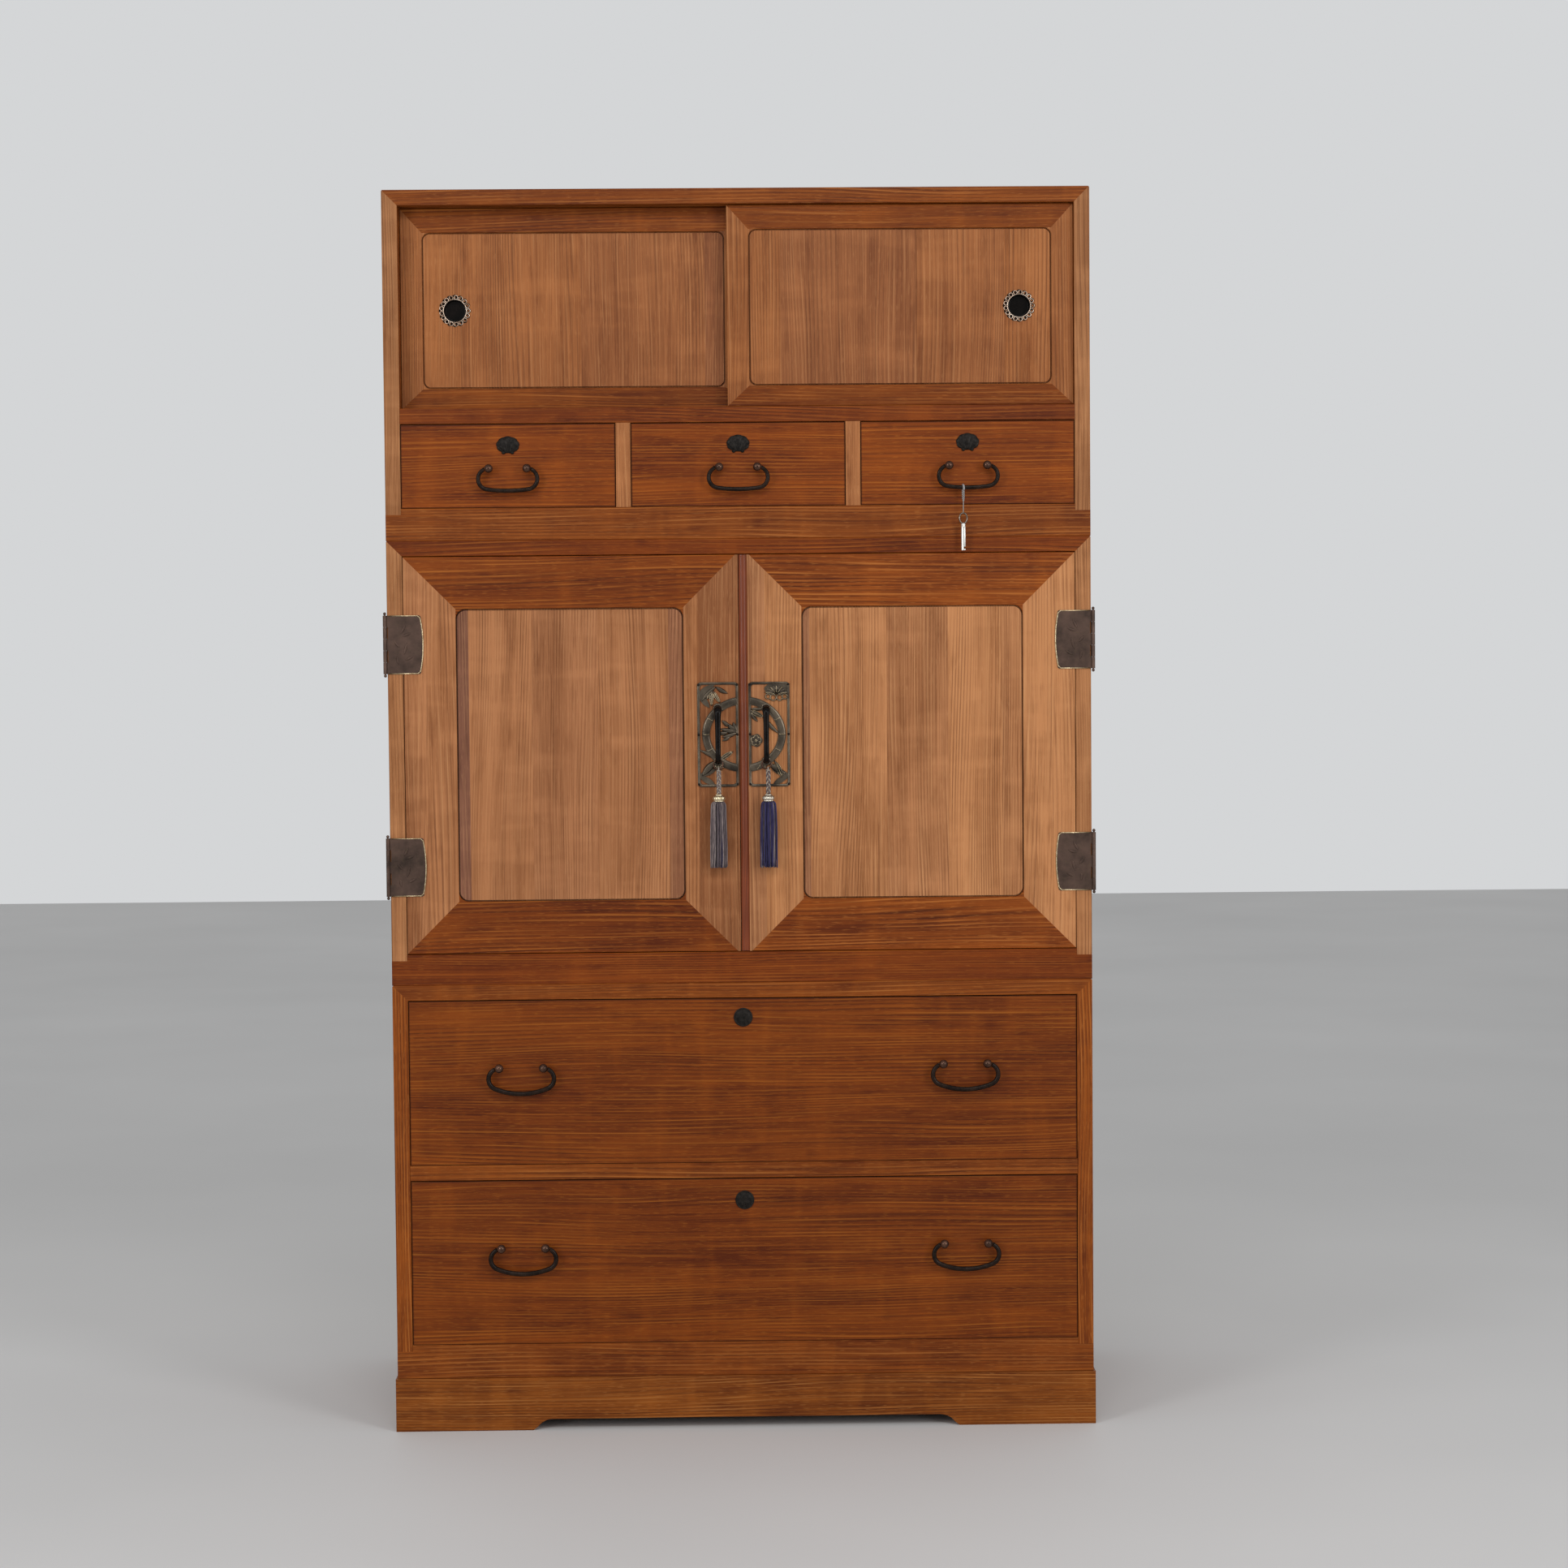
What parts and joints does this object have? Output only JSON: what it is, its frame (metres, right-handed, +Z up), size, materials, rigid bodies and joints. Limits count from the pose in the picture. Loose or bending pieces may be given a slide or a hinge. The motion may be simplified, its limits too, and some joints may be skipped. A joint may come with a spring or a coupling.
{
  "type": "kimono chest",
  "caption": "Three-section stacked kimono chest with sliding doors, small drawers, a hinged cupboard with trays, large drawers and bail handles.",
  "frame": {"origin": "on the floor, under the middle of the chest's box, handles counted", "axes": "+Z up the height; the front with its doors and drawers faces -Y; +X to the right seen from the front"},
  "size_m": [1.0114, 0.4763, 1.7685],
  "materials": {
    "case_wood": "satin wax over open grain, grain running across",
    "door_wood": "satin wax over open grain, grain running up",
    "pale_wood": "bare planed paulownia",
    "bead_wood": "glossy dark red lacquer",
    "hinge_bronze": "dark bronze, engraved",
    "plate_brass": "antique brass",
    "bail_bronze": "near-black bronze with copper highlights",
    "black_iron": "black, half gloss",
    "key_steel": "polished steel",
    "cord_yarn": "twisted grey and navy cord",
    "tassel_yarn": "grey-brown and navy strands under a brass bead"
  },
  "bodies": {
    "root": {"plinth": "case_wood", "bottom_chest_case": "case_wood", "bottom_chest_back": "pale_wood", "bottom_chest_shelf": "case_wood", "middle_chest_case": "case_wood", "middle_chest_back": "pale_wood", "tray_runners": "pale_wood", "kimono_trays": "pale_wood", "top_chest_case": "case_wood", "top_chest_back": "pale_wood", "top_chest_partitions": "case_wood", "case_hinges": "hinge_bronze"},
    "left_door": {"left_door_frame": "door_wood", "left_door_panel": "door_wood", "left_door_hinges": "hinge_bronze", "left_door_handle": "black_iron", "left_lock_plate": "plate_brass"},
    "left_tassel": {"left_tassel_cord": "cord_yarn", "left_tassel": "tassel_yarn"},
    "left_sliding_door": {"left_sliding_door": "door_wood", "left_finger_pull": "black_iron"},
    "right_door": {"right_door_frame": "door_wood", "right_door_panel": "door_wood", "right_door_hinges": "hinge_bronze", "right_door_handle": "black_iron", "right_lock_plate": "plate_brass", "right_door_bead": "bead_wood"},
    "right_tassel": {"right_tassel_cord": "cord_yarn", "right_tassel": "tassel_yarn"},
    "right_sliding_door": {"right_sliding_door": "door_wood", "right_finger_pull": "black_iron"},
    "left_small_drawer": {"left_small_drawer_front": "case_wood", "left_small_drawer_box": "pale_wood", "left_small_drawer_hardware": "bail_bronze"},
    "left_small_bail": {"left_small_drawer_bail": "bail_bronze"},
    "left_small_cover": {"left_small_drawer_key_cover": "black_iron"},
    "centre_small_drawer": {"centre_small_drawer_front": "case_wood", "centre_small_drawer_box": "pale_wood", "centre_small_drawer_hardware": "bail_bronze"},
    "centre_small_bail": {"centre_small_drawer_bail": "bail_bronze"},
    "centre_small_cover": {"centre_small_drawer_key_cover": "black_iron"},
    "right_small_drawer": {"right_small_drawer_front": "case_wood", "right_small_drawer_box": "pale_wood", "right_small_drawer_hardware": "bail_bronze"},
    "right_small_bail": {"right_small_drawer_bail": "bail_bronze"},
    "right_small_cover": {"right_small_drawer_key_cover": "black_iron"},
    "lower_large_drawer": {"lower_large_drawer_front": "case_wood", "lower_large_drawer_box": "pale_wood", "lower_large_drawer_hardware": "bail_bronze"},
    "lower_left_bail": {"lower_large_drawer_left_bail": "bail_bronze"},
    "lower_right_bail": {"lower_large_drawer_right_bail": "bail_bronze"},
    "lower_large_cover": {"lower_large_drawer_key_cover": "black_iron"},
    "upper_large_drawer": {"upper_large_drawer_front": "case_wood", "upper_large_drawer_box": "pale_wood", "upper_large_drawer_hardware": "bail_bronze"},
    "upper_left_bail": {"upper_large_drawer_left_bail": "bail_bronze"},
    "upper_right_bail": {"upper_large_drawer_right_bail": "bail_bronze"},
    "upper_large_cover": {"upper_large_drawer_key_cover": "black_iron"},
    "key": {"key": "key_steel", "key_string": "cord_yarn"}
  },
  "joints": [
    {"name": "left_door_hinge", "type": "hinge", "parent": "root", "child": "left_door", "pos_m": [-0.503, -0.21365, 0.6875], "axis": [0, 0, -1], "range_deg": [0, 260]},
    {"name": "left_tassel_swing", "type": "hinge", "parent": "left_door", "child": "left_tassel", "pos_m": [-0.0321, -0.22515, 0.95435], "axis": [0, 1, 0], "range_deg": [-8, 75]},
    {"name": "left_sliding_door_slide", "type": "slide", "parent": "root", "child": "left_sliding_door", "axis": [1, 0, 0], "range_m": [0, 0.463]},
    {"name": "right_door_hinge", "type": "hinge", "parent": "root", "child": "right_door", "pos_m": [0.503, -0.21365, 0.6875], "axis": [0, 0, 1], "range_deg": [0, 260]},
    {"name": "right_tassel_swing", "type": "hinge", "parent": "right_door", "child": "right_tassel", "pos_m": [0.0364, -0.22515, 0.95435], "axis": [0, -1, 0], "range_deg": [-8, 75]},
    {"name": "right_sliding_door_slide", "type": "slide", "parent": "root", "child": "right_sliding_door", "axis": [-1, 0, 0], "range_m": [0, 0.463]},
    {"name": "left_small_drawer_slide", "type": "slide", "parent": "root", "child": "left_small_drawer", "axis": [0, -1, 0], "range_m": [0, 0.33]},
    {"name": "left_small_bail_hinge", "type": "hinge", "parent": "left_small_drawer", "child": "left_small_bail", "pos_m": [-0.32567, -0.22285, 1.3755], "axis": [-1, 0, 0], "range_deg": [0, 180]},
    {"name": "left_small_cover_pivot", "type": "hinge", "parent": "left_small_drawer", "child": "left_small_cover", "pos_m": [-0.32567, -0.21215, 1.417], "axis": [0, 1, 0], "range_deg": [-100, 100]},
    {"name": "centre_small_drawer_slide", "type": "slide", "parent": "root", "child": "centre_small_drawer", "axis": [0, -1, 0], "range_m": [0, 0.33]},
    {"name": "centre_small_bail_hinge", "type": "hinge", "parent": "centre_small_drawer", "child": "centre_small_bail", "pos_m": [0, -0.22285, 1.3755], "axis": [-1, 0, 0], "range_deg": [0, 180]},
    {"name": "centre_small_cover_pivot", "type": "hinge", "parent": "centre_small_drawer", "child": "centre_small_cover", "pos_m": [0, -0.21215, 1.417], "axis": [0, 1, 0], "range_deg": [-100, 100]},
    {"name": "right_small_drawer_slide", "type": "slide", "parent": "root", "child": "right_small_drawer", "axis": [0, -1, 0], "range_m": [0, 0.33]},
    {"name": "right_small_bail_hinge", "type": "hinge", "parent": "right_small_drawer", "child": "right_small_bail", "pos_m": [0.32567, -0.22285, 1.3755], "axis": [-1, 0, 0], "range_deg": [0, 100]},
    {"name": "right_small_cover_pivot", "type": "hinge", "parent": "right_small_drawer", "child": "right_small_cover", "pos_m": [0.32567, -0.21215, 1.417], "axis": [0, 1, 0], "range_deg": [-100, 100]},
    {"name": "lower_large_drawer_slide", "type": "slide", "parent": "root", "child": "lower_large_drawer", "axis": [0, -1, 0], "range_m": [0, 0.36]},
    {"name": "lower_left_bail_hinge", "type": "hinge", "parent": "lower_large_drawer", "child": "lower_left_bail", "pos_m": [-0.317, -0.22285, 0.2645], "axis": [-1, 0, 0], "range_deg": [0, 180]},
    {"name": "lower_right_bail_hinge", "type": "hinge", "parent": "lower_large_drawer", "child": "lower_right_bail", "pos_m": [0.317, -0.22285, 0.2645], "axis": [-1, 0, 0], "range_deg": [0, 180]},
    {"name": "lower_large_cover_pivot", "type": "hinge", "parent": "lower_large_drawer", "child": "lower_large_cover", "pos_m": [0, -0.21215, 0.336], "axis": [0, 1, 0], "range_deg": [-100, 100]},
    {"name": "upper_large_drawer_slide", "type": "slide", "parent": "root", "child": "upper_large_drawer", "axis": [0, -1, 0], "range_m": [0, 0.36]},
    {"name": "upper_left_bail_hinge", "type": "hinge", "parent": "upper_large_drawer", "child": "upper_left_bail", "pos_m": [-0.317, -0.22285, 0.5235], "axis": [-1, 0, 0], "range_deg": [0, 180]},
    {"name": "upper_right_bail_hinge", "type": "hinge", "parent": "upper_large_drawer", "child": "upper_right_bail", "pos_m": [0.317, -0.22285, 0.5235], "axis": [-1, 0, 0], "range_deg": [0, 180]},
    {"name": "upper_large_cover_pivot", "type": "hinge", "parent": "upper_large_drawer", "child": "upper_large_cover", "pos_m": [0, -0.21215, 0.599], "axis": [0, 1, 0], "range_deg": [-100, 100]},
    {"name": "key_swing", "type": "hinge", "parent": "right_small_bail", "child": "key", "pos_m": [0.31817, -0.22285, 1.344], "axis": [-1, 0, 0], "range_deg": [0, 80]}
  ]
}
